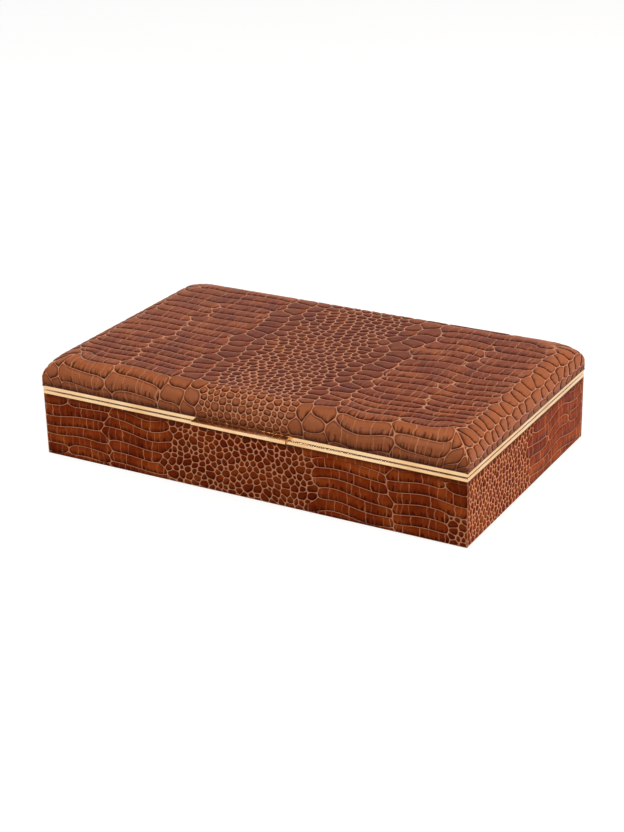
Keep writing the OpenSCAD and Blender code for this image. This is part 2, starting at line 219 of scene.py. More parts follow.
def lid_point(uv):
    """Where a point of the flat hide lies on the lid: u and v run from the middle."""
    uv = np.asarray(uv, float)
    u, v = np.abs(uv[:, 0]), np.abs(uv[:, 1])
    over_u, over_v = u - flat_w, v - flat_d
    # s is how far out of the flat top the point's ring lies, rc that ring's corner
    s = np.maximum(over_u, over_v)
    down = np.clip(s, 0, DROP)
    inset = np.interp(down, edge_s, edge_in)
    z = np.interp(down, edge_s, edge_z)
    grow = np.where(s > 0, EDGE_RUN - inset, np.maximum(s, -CORNER_TOP))
    rc = CORNER_LOW + (CORNER_TOP - CORNER_LOW) * inset / EDGE_RUN
    rc = np.where(s > 0, rc, np.maximum(CORNER_TOP + s, 1e-6))
    # along the ring the point goes straight, and then round half of the corner
    long_side = over_v >= over_u
    along = np.where(long_side, u, v)
    half = np.where(long_side, flat_w, flat_d)
    reach = half + s
    straight = half + grow - rc
    ring = straight + rc * math.pi / 4
    start = np.minimum(half - DRAWN_IN, reach - DRAWN_IN_LEAST)
    pull = np.clip(along - start, 0, None) ** 2 * (reach - ring) / (reach - start) ** 2
    sigma = along - pull
    turned = np.clip((sigma - straight) / rc, 0, math.pi / 4)
    a = np.where(sigma > straight, straight + rc * np.sin(turned), sigma)
    b = np.where(long_side, flat_d, flat_w) + grow - rc + rc * np.cos(turned)
    inner = s <= -CORNER_TOP
    x = np.where(inner, u, np.where(long_side, a, b))
    y = np.where(inner, v, np.where(long_side, b, a))
    return np.stack([x * np.sign(uv[:, 0]), y * np.sign(uv[:, 1]), z], 1)


def normals(surface, uv, step=0.05):
    """The directions in which a surface faces at points of the hide."""
    du = surface(uv + [step, 0]) - surface(uv - [step, 0])
    dv = surface(uv + [0, step]) - surface(uv - [0, step])
    normal = np.cross(du, dv)
    return normal / np.maximum(np.linalg.norm(normal, axis=1), 1e-9)[:, None]


# %% [markdown]
# ## The pattern of the hide
#
# Crocodile leather, real or embossed, has two kinds of scales. Down the flank lie
# small round ones; on both sides follow long belly tiles, in rows that wander, end
# in blunt forks and start again, half a row off. A Voronoi texture could paint this,
# but then the grooves would be only shading. Here the scales are cut as real cells:
#
# 1. Each scale is a short row of seeds, and the hide is laid out in rows of scales.
# 2. The border between two scales is where their seeds are equally near. This is the
#    Voronoi diagram, read off the Delaunay triangles of all the seeds.
# 3. The borders are pulled straight, as soap films pull, which rounds the corners
#    and makes Y-shaped forks, and are cut into even steps.

# %% Rows of scales
# how far the pattern is laid past the sheet
MARGIN = 22


def lay_section(hide, rng, rect, edges, before, pitch, length, step, tilt, loose,
                join=lambda v: 0, heads=(), tails=()):
    """Adds the rows of scales between two edge lines. pitch and length say how high
    and how long the scales are at a place, step how far apart the seeds are. A row
    that nearly meets one of the section before runs on into it. heads and tails are
    the lengths of the short tiles at its two ends, from the outside in."""
    rows = []
    v = rect[2] - MARGIN - rng.uniform(0, 6)
    while v < rect[3] + MARGIN:
        high = pitch(v) * rng.uniform(0.9, 1.1)
        ends = rng.uniform(-1, 1, 2) * loose * 2
        ua = max(edges[0](v) + ends[0], rect[0] - MARGIN)
        ub = min(edges[1](v) + ends[1], rect[1] + MARGIN)
        if ub - ua < 3:
            v += high
            continue
        short = [np.cumsum([0.0, *tiles] * rng.uniform(0.93, 1.07, len(tiles) + 1))
                 for tiles in (heads, tails)]
        head, tail = ua + short[0], ub - short[1][::-1]
        room = tail[0] - head[-1]
        count = max(1, int(round(room / length(v) * rng.uniform(0.85, 1.15))))
        share = rng.uniform(0.72, 1.28, count)
        middle = head[-1] + room * np.cumsum(share / share.sum())[:-1]
        stops = np.concatenate([head, middle, tail])
        meet = [name for place, name in before if abs(place - v) < join(v)]
        for a, b in zip(stops[:-1], stops[1:]):
            n = max(2, int(round((b - a) / step)))
            u = a + (b - a) * (np.arange(n) + 0.5) / n
            row = (v + rng.uniform(-loose, loose)
                   + rng.uniform(-tilt, tilt) * (u - (a + b) / 2))
            if a == stops[0] and meet:
                name = meet[0]
            else:
                name = len(hide["scales"])
                hide["scales"].append(([], high / 2))
            seeds = len(hide["seeds"])
            hide["scales"][name][0].extend(range(seeds, seeds + n))
            hide["owner"] += [name] * n
            hide["seeds"] += list(zip(u, row))
        rows.append((v, name))
        v += high
    return rows


# a full turn, near enough for a random phase
TURN = 6.28


def waves(seed, height, length):
    """A smooth random wander of the rows."""
    rng = np.random.default_rng(seed)
    parts = [(rng.uniform(0.6, 1.6) / length, rng.uniform(-0.4, 0.4) / length,
              rng.uniform(0, TURN)) for _ in range(5)]

    def wander(u, v):
        return sum(height / 2.2 * np.sin(TURN * (a * u + b * v) + c) for a, b, c in parts)
    return wander


# %% Borders between the scales
# a corner of a border lies no further than this from the middle of its triangle
FAR = 9.0


def borders(seeds, owner):
    """The network of borders: its points, and for each scale its ring of points."""
    faces = delaunay_2d_cdt([Vector(p) for p in seeds], [], [], 0, 1e-7)[2]
    tri = np.array([f for f in faces if len(f) == 3])
    a, b, c = seeds[tri[:, 0]], seeds[tri[:, 1]], seeds[tri[:, 2]]
    ba, ca = b - a, c - a
    d = 2 * (ba[:, 0] * ca[:, 1] - ba[:, 1] * ca[:, 0])
    flip = d < 0
    tri[flip] = tri[flip][:, ::-1]
    bb, cc = (ba ** 2).sum(1), (ca ** 2).sum(1)
    centre = a + np.stack([ca[:, 1] * bb - ba[:, 1] * cc,
                           ba[:, 0] * cc - ca[:, 0] * bb], 1) / d[:, None]
    middle = (a + b + c) / 3
    away = centre - middle
    centre = middle + away / np.maximum(np.hypot(*away.T) / FAR, 1)[:, None]
    across = {}
    for t, (p, q, r) in enumerate(tri.tolist()):
        across[(p, q)] = across[(q, r)] = across[(r, p)] = t
    rings = {}
    for t, corners in enumerate(tri.tolist()):
        for k in range(3):
            this, before = corners[k], corners[k - 1]
            if owner[this] != owner[before]:
                rings.setdefault(owner[this], {})[t] = across.get((this, before))
    return centre, rings


def even_points(line, back, count):
    """Evenly spaced points on a line, the outer ones a way back from its ends."""
    reach = lengths(line)
    even = np.linspace(back, reach[-1] - back, count)
    return np.stack([np.interp(even, reach, line[:, i]) for i in (0, 1)], 1)


def network(hide, wander, steps, pulls=9):
    """The scales as closed lines in the hide, each with its own middle line."""
    seeds, owner = np.array(hide["seeds"]), np.array(hide["owner"])
    seeds[:, 1] += wander(seeds[:, 0], seeds[:, 1])
    points, rings = borders(seeds, owner)
    links = np.array(sorted({tuple(sorted((s, e))) for ring in rings.values()
                             for s, e in ring.items() if e is not None}))
    degree = np.bincount(links.ravel(), minlength=len(points))
    free = degree > 1
    for _ in range(pulls):
        pull = np.zeros_like(points)
        np.add.at(pull, links[:, 0], points[links[:, 1]])
        np.add.at(pull, links[:, 1], points[links[:, 0]])
        points[free] += 0.5 * (pull[free] / degree[free, None] - points[free])
    runs, scales = {}, []
    for name, ring in rings.items():
        # the fence of seeds round the outside has no scale
        while ring and name >= 0:
            first = next(iter(ring))
            loop, at = [first], ring.pop(first)
            while at != first:
                loop.append(at)
                at = ring.pop(at)
            if area_of(points[loop]) <= 0:
                continue
            # from fork to fork the border is cut once, for the scales on both sides
            forks = [k for k, p in enumerate(loop) if degree[p] > 2] or [0]
            loop = loop[forks[0]:] + loop[:forks[0] + 1]
            forks = [k - forks[0] for k in forks] + [len(loop) - 1]
            line = []
            for s, e in zip(forks[:-1], forks[1:]):
                run = loop[s:e + 1]
                back = (run[0], run[1]) > (run[-1], run[-2])
                if back:
                    run = run[::-1]
                key = (run[0], run[1], run[-1])
                if key not in runs:
                    way = points[run]
                    count = round(lengths(way)[-1] / steps(way[:, 0].mean()))
                    runs[key] = even_points(way, 0, max(1, int(count)) + 1)
                line += list((runs[key][::-1] if back else runs[key])[:-1])
            members, half = hide["scales"][name]
            scales.append((np.array(line), (seeds[members], half)))
    return scales


# %% [markdown]
# ## Cutting the cells to the sheet
#
# The pattern is made larger than the sheet and then cut to it, as a maker lays the
# pattern piece on a hide. Each corner of the lid is also cut along its mitre, where
# the leather is drawn together into a short seam. A cut is made at the same point
# from both sides, so that neighbouring scales still share their groove.

# %% Cutting
def cut(poly, normal, offset):
    """The part of a polygon with normal . p <= offset."""
    side = poly @ normal - offset
    side[np.abs(side) < 1e-6] = 0
    out = []
    for a, b, sa, sb in zip(poly, np.roll(poly, -1, 0), side, np.roll(side, -1)):
        if sa <= 0:
            out.append(a)
        if sa * sb < 0:
            if tuple(a) > tuple(b):
                a, b, sa, sb = b, a, sb, sa
            out.append(a + (b - a) * (sa / (sa - sb)))
    return np.array(out)


def area_of(poly):
    nxt = np.roll(poly, -1, 0)
    return (poly[:, 0] * nxt[:, 1] - poly[:, 1] * nxt[:, 0]).sum() / 2


def trim(scales, rect, seams=()):
    """Scales cut to the rectangle, and in two along each seam: a corner's place, its
    direction and how far out of it the seam begins. A cut scale loses its middle."""
    out = []
    for poly, middle in scales:
        whole = poly
        for normal, offset in zip(((1, 0), (-1, 0), (0, 1), (0, -1)),
                                  (rect[1], -rect[0], rect[3], -rect[2])):
            if len(poly) > 2 and (poly @ normal).max() > offset:
                poly = cut(poly, np.array(normal, float), offset)
        if len(poly) < 3 or abs(area_of(poly)) < 0.01:
            continue
        parts = [poly]
        for (cu, cv), (du, dv), begin in seams:
            out_of = (poly - [cu, cv]) * [du, dv]
            if out_of.max() < begin or out_of.min(1).max() < 0:
                continue
            normal = np.array([du, -dv], float) / math.sqrt(2)
            offset = float(np.dot(normal, (cu, cv)))
            parts = [q for p in parts
                     for q in (cut(p, normal, offset), cut(p, -normal, -offset))
                     if len(q) > 2 and abs(area_of(q)) > 1e-4]
        kept = middle if len(parts) == 1 and parts[0] is whole else None
        out += [(p if area_of(p) > 0 else p[::-1], kept) for p in parts]
    return out


# %% [markdown]
# ## From flat cells to relief
#
# Each scale is a little cushion. Its outline lies at the bottom of the groove; from
# there rings climb up the groove's wall, over a rounded shoulder and on to a gentle
# crown. On a long tile the rings close on a line along its middle and not on a point,
# so a ring keeps its distance from the groove all the way round. The crown stays just
# under the surface that the construction model gives the leather.

# %% Relief
# each ring: how far in from the groove, at most what share of the way, its height, how
# often it is smoothed, and the marks that the leather's material reads: groove, within
RINGS = ((0.0, 0.0, -0.52, 0, 1.0, 0.0), (0.34, 0.12, -0.54, 2, 0.45, 0.12),
         (0.9, 0.3, -0.26, 3, 0.0, 0.3), (1.8, 0.56, -0.08, 3, 0.0, 0.6),
         (4.2, 0.84, 0.0, 2, 0.0, 1.0))
# a straight cut longer than this is cut into steps of about the other length
LONG_CUT, CUT_STEP = 4.2, 3
# at half this height and more a scale has the full relief
FULL_HEIGHT = 3.6


def middle_line(poly, middle):
    """The line along a scale's middle that its rings close on."""
    if middle is not None:
        line, half = middle
        long = lengths(line)[-1]
        back = max(half - long / (len(line) - 1) / 2, 0)
        if long > 2 * back + 0.5:
            line = even_points(line, back, len(line))
        else:
            line = line.mean(0)[None]
        # it is used if its ends and its middle lie inside the scale
        a, b = poly, np.roll(poly, -1, 0)
        for x, y in line[[0, len(line) // 2, -1]]:
            over = (a[:, 1] > y) != (b[:, 1] > y)
            (ax, ay), (bx, by) = a[over].T, b[over].T
            if (ax + (y - ay) * (bx - ax) / (by - ay) > x).sum() % 2 == 0:
                break
        else:
            return line
    centre = poly.mean(0)
    axes = np.linalg.eigh(np.cov((poly - centre).T))[1]
    flat = (poly - centre) @ axes
    low, high = flat.min(0), flat.max(0)
    half_h, half_l = (high - low) / 2
    mid = (high + low) / 2
    spine = max(0.0, half_l - half_h) * 0.92
    ends = [[mid[0], mid[1] - spine], [mid[0], mid[1] + spine]]
    return centre + np.array(ends if spine > 0.3 else ends[:1]) @ axes.T


def nearest(line, points):
    """The nearest point of an open line, for each point."""
    if len(line) == 1:
        return np.repeat(line, len(points), 0)
    a, run = line[:-1], np.diff(line, axis=0)
    t = ((points[:, None] - a) * run).sum(-1) / (run ** 2).sum(-1)
    foot = a + np.clip(t, 0, 1)[..., None] * run
    best = np.hypot(*np.moveaxis(points[:, None] - foot, -1, 0)).argmin(1)
    return foot[np.arange(len(points)), best]


def outline(poly):
    """A scale's outline with its long cuts in steps and no point twice."""
    loop = []
    for a, b in zip(poly, np.roll(poly, -1, 0)):
        gap = np.hypot(*(b - a))
        parts = int(gap / CUT_STEP) if gap > LONG_CUT else 1
        loop += [a + (b - a) * k / parts for k in range(parts)]
    loop = np.array(loop)
    fine = np.round(loop, 3)
    return loop[(fine != np.roll(fine, 1, 0)).any(1)]


def open_borders(faces):
    """The loops of edges that only one face has, the way round that the face has it."""
    used = {(a, b) for f in faces for a, b in zip(f, f[1:] + f[:1])}
    after = {}
    for a, b in sorted(used):
        if (b, a) not in used:
            after.setdefault(a, []).append(b)
    rims = []
    while any(after.values()):
        loop = [min(a for a in after if after[a])]
        while loop:
            following = after[loop[-1]].pop()
            if following not in loop:
                loop.append(following)
                continue
            at = loop.index(following)
            rims.append(loop[at:])
            loop = loop[:at + 1] if at else []
    return rims


def band(faces, last, start):
    """Adds faces from a border to a fresh ring of points, numbered from start."""
    fresh = list(range(start, start + len(last)))
    faces += [(last[k + 1], last[k], fresh[k], fresh[k + 1])
              for k in range(-1, len(last) - 1)]
    return fresh


def relief(scales, surface, inner_side, rect, rng, border_depth=0.3):
    """One closed mesh of all the scales. surface turns points of the hide into the
    object's points; inner_side gives the rings of points on the leather's inside."""
    index, rows, faces = {}, [], []

    def vertex(place, marks, shared):
        """The number of a point of the hide. Scales share the points in their groove."""
        key = (round(place[0], 3), round(place[1], 3)) if shared else len(rows)
        if key not in index:
            index[key] = len(rows)
            rows.append((*place, *marks))
        return index[key]

    for poly, middle in scales:
        loop = outline(poly)
        if len(loop) < 3:
            continue
        way = nearest(middle_line(poly, middle), loop) - loop
        reach = np.maximum(np.hypot(*way.T), 1e-6)
        half_h = float(np.median(reach))
        size = np.ptp(loop, 0).max() / 2
        tile = float(np.clip((size / max(half_h, 0.3) - 1.5) / 1.8, 0, 1))
        puff = float(np.clip(half_h / FULL_HEIGHT, 0.3, 1.0))
        tone = rng.random()
        to_edge = np.abs(loop[:, [0, 0, 1, 1]] - rect).min(1)
        rings = []
        for width, most, height, smoothings, groove, within in RINGS:
            base = not rings
            ring = loop + way * (np.minimum(width, most * reach) / reach)[:, None]
            for _ in range(smoothings):
                ring = (np.roll(ring, 1, 0) + 2 * ring + np.roll(ring, -1, 0)) / 4
            heights = np.full(len(loop), height * puff)
            if base:
                heights = np.where(to_edge < 1e-4, -border_depth, heights)
            near = np.zeros(len(loop)) if base else way[:, 1] / reach
            shade = 0.5 if base else tone
            rings.append([vertex(p, (h, groove, within, shade, tile, s), base)
                          for p, h, s in zip(ring, heights, near)])
        for lower, upper in zip(rings, rings[1:]):
            for k in range(-1, len(loop) - 1):
                if lower[k] != lower[k + 1]:
                    faces.append((lower[k], lower[k + 1], upper[k + 1], upper[k]))
        faces.append(tuple(rings[-1]))
    rows = np.array(rows)
    uv, depth = rows[:, :2], rows[:, 2]
    spot = surface(uv) + normals(surface, uv) * depth[:, None]
    # the border, once round, carries the leather's edge and its inner side
    rims = open_borders(faces)
    rim = max(rims, key=len)
    # where a seam ends between two scales it leaves a tiny gap, which is filled
    gaps = [loop for loop in rims if loop is not rim]
    faces += [tuple(loop[::-1]) for loop in gaps]
    layers = inner_side(uv[rim])
    last = rim
    for level in range(len(layers)):
        last = band(faces, last, len(rows) + level * len(rim))
    faces.append(tuple(last[::-1]))
    hide = np.concatenate([uv] + [uv[rim]] * len(layers))
    inside = len(hide) - len(rows)
    data = {key: np.append(rows[:, 3 + k], np.full(inside, 0.5 if key == "tone" else 0.0))
            for k, key in enumerate(("groove", "within", "tone", "tile", "near"))}
    print("  scales", len(scales), " points", len(hide), " border", len(rim),
          " gaps filled", len(gaps))
    return np.vstack([spot, *layers]), faces, hide, data


def mesh_piece(name, points, faces, uv=None, data=None):
    """A smooth mesh object in metres, with an optional UV map and point attributes."""
    mesh = bpy.data.meshes.new(name)
    mesh.from_pydata((np.asarray(points) * MM).tolist(), [], faces)
    if uv is not None:
        corners = np.empty(len(mesh.loops), np.int32)
        mesh.loops.foreach_get("vertex_index", corners)
        mesh.uv_layers.new(name="hide").data.foreach_set(
            "uv", (np.asarray(uv)[corners] * MM).astype(np.float32).ravel())
    for key, values in (data or {}).items():
        attribute = mesh.attributes.new(key, "FLOAT", "POINT")
        attribute.data.foreach_set("value", np.asarray(values, np.float32))
    mesh.validate()
    mesh.polygons.foreach_set("use_smooth", np.ones(len(mesh.polygons), bool))
    return put(name, mesh)


def triangles(piece):
    return sum(len(p.vertices) - 2 for p in piece.data.polygons)


# %% [markdown]
# ## How the scales lie on this box
#
# On the lid the flank runs down the middle from back to front. The belly tiles reach
# out from it to both sides, meet the next ones at a zigzag line about two thirds of
# the way out, and bend down over the rounded ends. Each section has its own rows, so
# the rows meet half a row off, as on the animal.

# %% Scales of the lid
def line_at(u, wobble, seed):
    """An edge between two sections: a place and how far it wobbles with v."""
    phase = seed * 1.7

    def place(v):
        bend = 0.6 * math.sin(v / 9 + phase) + 0.4 * math.sin(v / 4.1 + 2 * phase)
        return u + wobble * bend
    return place


# a fence of seeds round the outside gives every scale a border
FENCE, FENCE_TOP, POST = 34, 40, 6.0


def lay_hide(rect, sections, seed, wander, steps):
    """All the sections of a sheet from left to right: each an edge line and a kind of
    scales. The last one has only its edge."""
    rng = np.random.default_rng(seed)
    u0, u1 = rect[0] - FENCE, rect[1] + FENCE
    v0, v1 = rect[2] - FENCE, rect[3] + FENCE_TOP
    fence = [(u, v) for u in np.arange(u0, u1, POST) for v in (v0, v1)]
    fence += [(u, v) for v in np.arange(v0, v1, POST) for u in (u0 - 1, u1 + 1)]
    hide = {"seeds": fence, "owner": [-1] * len(fence), "scales": []}
    rows = []
    for here, after in zip(sections, sections[1:]):
        rows = lay_section(hide, rng, rect, (here[0], after[0]), rows, *here[1:])
    return network(hide, wander, steps)


def side_pitch(v):
    if abs(v) > flat_d - 1:
        return 12.0
    return 12.8 if v > 10 else 12.8 - (10 - v) * 0.042


def lid_small(v):
    return 5.3 if v < -flat_d + 4 else 6.1 if v < -25 else 7.0


lid_rect = (-flat_w - DROP, flat_w + DROP, -flat_d - DROP, flat_d + DROP)
side = (side_pitch, lambda v: 75, 3.4, 0.03, 0.7)
small = (lid_small, lambda v: 1.1 * lid_small(v), 2.4, 0.25, 0.45)
never, often = lambda v: 0, lambda v: 1.7 if v > -flat_d else 0
# short tiles where a row goes over the rounded end, and where it meets the flank
over_end, by_flank = (MARGIN + 6.5, 10.5, 13.0), (13.0, 19.0)
# an edge far outside the sheet
left_out, far = line_at(-400, 0, 0), line_at(400, 0, 0)
lid_sections = [
    (left_out, *side, never, over_end), (line_at(-119, 5.0, 2), *side, often, (), by_flank),
    (line_at(-36, 4.0, 3), *small), (line_at(39, 4.5, 4), *side, never, by_flank),
    (line_at(121, 5.0, 5), *side, often, (), over_end), (far,)]


def lid_steps(u):
    """Short steps for the small scales and the rounded ends, longer ones between."""
    return 1.7 if -68 < u < 71 or abs(u) > flat_w - 4 else 2.6


seams = [((su * flat_w, sv * flat_d), (su, sv), 9.0) for su in (-1, 1) for sv in (-1, 1)]
scales = trim(lay_hide(lid_rect, lid_sections, 11, waves(5, 2.2, 85), lid_steps),
              lid_rect, seams)
print("lid:", len(scales), "scales")


def lid_inside(rim_uv):
    """Rings of points on the inner side of the lid's leather, from the hem up."""
    layers = []
    share = rim_uv / [flat_w + DROP, flat_d + DROP]
    for s in (DROP, 18, 10, 3):
        place = share * [flat_w + s, flat_d + s]
        layers.append(lid_point(place) - normals(lid_point, place) * LEATHER_T)
    layers[0][:, 2] = skin_low
    return layers


points, faces, uv, data = relief(scales, lid_point, lid_inside, lid_rect, random.Random(3))
over_edge = np.maximum(np.abs(uv[:, 0]) - flat_w, np.abs(uv[:, 1]) - flat_d)
# painted sheen: paler over the lid's rounded edge
data["worn"] = np.interp(over_edge, [-10, 7, 18, DROP], [0.04, 1, 1, 0.75])
# painted shade just above the brass
data["hem"] = np.interp(over_edge, [DROP - 6, DROP - 1.5], [0, 1])
lid_skin = mesh_piece("lid_leather_skin", points, faces, uv, data)
print("lid skin:", triangles(lid_skin), "triangles")

# %% [markdown]
# ## The leather of the lower part
#
# Four flat panels, cut from the same kind of hide and butted at the corners. The
# front one has its flank in the middle, under that of the lid, and the right one has
# it towards the front corner.

# %% Panels of the lower part
tiles = (lambda v: 8.5, lambda v: 60, 3.0, 0.06, 0.6)
more_tiles = (*tiles, lambda v: 1.5)
round_ones = (lambda v: 5.0, lambda v: 5.7, 1.9, 0.35, 0.5)
dense = (lambda v: 4.5, lambda v: 5.6, 1.8, 0.25, 0.4)
PANELS = {
    "front": (21, [(left_out, *tiles), (line_at(-121, 5, 1), *more_tiles),
                   (line_at(-66, 8, 2), *round_ones), (line_at(55, 8, 3), *tiles),
                   (line_at(120, 5, 4), *more_tiles),
                   (lambda v: 166 + max(0, v - 22) * 3, *round_ones), (far,)]),
    "right": (22, [(left_out, *dense), (line_at(2, 9, 1), *tiles),
                   (line_at(76, 5, 2), *more_tiles), (far,)]),
    "back": (23, [(left_out, *tiles), (line_at(-124, 5, 1), *more_tiles),
                  (line_at(-58, 8, 2), *round_ones), (line_at(48, 8, 3), *tiles),
                  (line_at(117, 5, 4), *more_tiles), (far,)]),
    "left": (24, [(left_out, *tiles), (line_at(-52, 5, 1), *more_tiles),
                  (line_at(22, 9, 2), *dense), (far,)]),
}
PANEL_STEP = 1.6


def panel(name):
    """A leather panel in the place of the node of the same name."""
    seed, sections = PANELS[name]
    low, high = box_of("base_leather_" + name)
    along_x = name in ("front", "back")
    half = (high[0] - low[0]) / 2 if along_x else (high[1] - low[1]) / 2
    rect = (-half, half, low[2], high[2])
    face = {"front": low[1], "right": high[0], "back": high[1], "left": low[0]}[name]
    outwards = -1 if name in ("front", "left") else 1
    go = 1 if name in ("front", "right") else -1

    def surface(uv, inset=0.0):
        a, b = uv[:, 0] * go, uv[:, 1]
        f = np.full(len(a), face - outwards * inset)
        return np.stack([a, f, b] if along_x else [f, a, b], 1)

    scales = lay_hide(rect, sections, seed, waves(seed + 1, 2.4, 75), lambda u: PANEL_STEP)
    points, faces, uv, data = relief(
        trim(scales, rect), surface, lambda edge: [surface(edge, LEATHER_T)], rect,
        random.Random(seed), border_depth=0.22)
    # painted shade just under the brass
    data["hem"] = np.interp(uv[:, 1], [high[2] - 4.0, high[2] - 1.0], [0, 1])
    # each panel reads another part of the hide's pattern
    made = mesh_piece("base_leather_" + name + "_panel", points, faces,
                      uv + [0, 500 * seed], data)
    print(made.name, triangles(made), "triangles")
    return made


panels = {name: panel(name) for name in PANELS}

# %% [markdown]
# ## Embossed calf leather
#
# The hide is calf, pressed with a crocodile plate and finished by hand: a chestnut
# dye over a paler ground. The dye gathers dark beside the grooves and leaves the
# ground bare in the grooves, and the low side of each scale gets painted shade. That
# gives a net of pale lines round dark cushions, with a soft sheen that breaks up where
# the surface wrinkles. The lid's rounded edge is painted paler, as a painted sheen.

# %% Leather
def stand_in(piece, body, nodes):
    """The piece rides on a body and shows in the place of construction nodes."""
    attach(piece, body)
    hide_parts(*nodes)


def embossed_leather(name, dyes, ground, gloss_level):
    """Pale grooves, dyed scales and a glaze, on the marks that the relief has left."""
    made, shader, node = new_material(name)
    groove, within, tone, tile, near, worn, hem = [
        node("Attribute", out="Fac", attribute_name=mark)
        for mark in ("groove", "within", "tone", "tile", "near", "worn", "hem")]
    hide = node("UVMap", uv_map="hide")
    drift = node("TexNoise", {"Vector": hide, "Scale": 160.0, "Detail": 1.0},
                 noise_dimensions="2D")
    place = node("SeparateXYZ", {"Vector": hide}) + drift * 0.003 + tone * 0.4
    # pale cross lines on the long tiles, one every 6.5 mm, some strong and some faint
    cross = node("TexVoronoi", {"W": place, "Scale": 1 / 0.0065}, voronoi_dimensions="1D",
                 feature="DISTANCE_TO_EDGE")
    some = node("TexNoise", {"W": place, "Scale": 120.0}, noise_dimensions="1D")
    cross = (node("ValToRGB", {0: cross}, stops=[(0.0, 1.0), (0.04, 0.6), (0.09, 0.0)])
             * node("ValToRGB", {0: some}, stops=[(0.42, 0.1), (0.62, 1.0)]) * tile)
    # painted shade on the low side of each scale, on the tiles in streaks 1 to 3 mm apart
    streak = node("TexNoise", {"W": place, "Scale": 430.0, "Detail": 1.5},
                  noise_dimensions="1D")
    reach = within - (streak - 0.42) * (tile + 0.6) * 1.6
    painted_low_side_shade = (node("ValToRGB", {0: reach}, stops=[(0.0, 1.0), (0.4, 0.55), (0.9, 0.0)])
            * node("ValToRGB", {0: near}, stops=[(0.05, 0.0), (0.6, 1.0)]))
    # the dye, uneven over 10 to 40 mm and from scale to scale
    cloud = node("TexNoise", {"Vector": hide, "Scale": 45.0, "Detail": 4.0,
                              "Roughness": 0.6}, noise_dimensions="2D")
    colour = node("ValToRGB", {0: cloud * 0.88 + tone * 0.12},
                  stops=list(zip((0.3, 0.5, 0.7), map(ink, dyes))))
    line = node("ValToRGB", {0: groove}, stops=[(0.44, 0.0), (0.86, 1.0)])
    coats = [
        # darker on the crowns of the small scales
        ((1.0 - tile) * node("ValToRGB", {0: within}, stops=[(0.12, 0.15), (0.5, 0.4)]),
         "#5a1c07"),
        # painted sheen: paler where the sheet is drawn over the lid's rounded edge, most on
        # the crowns
        (worn * node("ValToRGB", {0: within}, stops=[(0.1, 0.2), (0.7, 0.72)]), "#cb784c"),
        # dark where the dye has gathered beside the grooves, and more on the low side of
        # each scale as painted shade
        (node("ValToRGB", {0: within}, stops=[(0.1, 0.42), (0.3, 0.3), (0.6, 0.0)])
         * node("ValToRGB", {0: near}, stops=[(0.0, 0.6), (0.6, 1.0)]), "#551704"),
        # painted shade: dark on the low side of each scale
        (painted_low_side_shade * 0.85, "#3e0c01"),
        # painted shade: darker along the edge beside the brass
        (hem * 0.6, "#43200c"),
        # the pale ground shows in the grooves and a little in the cross lines, less in the
        # painted shade by the brass
        (line.or_more(cross * 0.7)
         * node("ValToRGB", {0: hem}, stops=[(0.0, 1.0), (1.0, 0.35)]), ground)]
    for share, coat in coats:
        colour = node("Mix", {0: share, 6: colour, 7: ink(coat)}, out=2,
                      data_type="RGBA")
    # a glaze that is glossy on the scales and dull in the grooves, with 0.5 mm pores
    fine = node("TexNoise", {"Vector": hide, "Scale": 900.0, "Detail": 3.0},
                noise_dimensions="2D")
    gloss = node("ValToRGB", {0: fine}, stops=[(0.3, 0.32), (0.7, 0.46)])
    dull = [0.65, 0.65, 0.65, 1]
    pores = node("TexVoronoi", {"Vector": hide, "Scale": 1 / 0.0005}, feature="F1",
                 voronoi_dimensions="2D")
    swell = node("TexNoise", {"Vector": hide, "Scale": 130.0, "Detail": 2.0},
                 noise_dimensions="2D")
    # heights in millimetres
    height = swell * 0.45 + pores * 0.03 - cross * 0.14 - painted_low_side_shade * 0.12
    feed(shader, {
        "Base Color": colour, "Specular IOR Level": gloss_level,
        "Roughness": node("Mix", {0: line, 6: gloss, 7: dull}, out=2,
                          data_type="RGBA"),
        "Normal": node("Bump", {"Height": height, "Strength": 0.9,
                                          "Distance": 0.001})})
    return made


# the lid has the full glaze; the lower part was left nearly matt, and looks redder
glazed = embossed_leather(
    "crocodile_embossed_calf_glazed", ("#782a0e", "#943e14", "#b05824"), "#f2a87e", 0.07)
matt = embossed_leather(
    "crocodile_embossed_calf_matt", ("#80290e", "#9d3d13", "#bc5723"), "#f8a97d", 0.02)
lid_skin.data.materials.append(glazed)
stand_in(lid_skin, "lid", ["lid_leather"])
for name, piece in panels.items():
    piece.data.materials.append(matt)
    stand_in(piece, "base", ["base_leather_" + name])
print("leather on", 1 + len(panels), "pieces")

# %% [markdown]
# ## Polished brass
#
# The bars are drawn brass, polished and lacquered. Polished brass is a mirror with a
# warm tint; what the eye reads as metal is how it shows its surroundings, broken by
# the faint lines that polishing along the bar leaves.

# %% Brass
def polished_brass():
    made, shader, node = new_material("brass_drawn_polished")
    place = node("TexCoord", out="Object")
    # polishing lines, about 0.5 mm apart, drawn coarser than real so that they show
    lines = node("Mapping", {"Vector": place, "Scale": (60, 60, 2200)})
    drawn = node("TexNoise", {"Vector": lines, "Scale": 1.0, "Detail": 4.0})
    stain = node("TexNoise", {"Vector": place, "Scale": 35.0, "Detail": 3.0})
    feed(shader, {
        "Base Color": node("ValToRGB", {0: stain},
                           stops=[(0.35, ink("#f3cfa3")), (0.65, ink("#e6b985"))]),
        "Roughness": node("ValToRGB", {0: drawn}, stops=[(0.3, 0.16), (0.7, 0.30)]),
        "Metallic": 1.0,
        "Normal": node("Bump", {"Height": drawn, "Strength": 0.15,
                                          "Distance": 0.0001})})
    return made


brass = polished_brass()


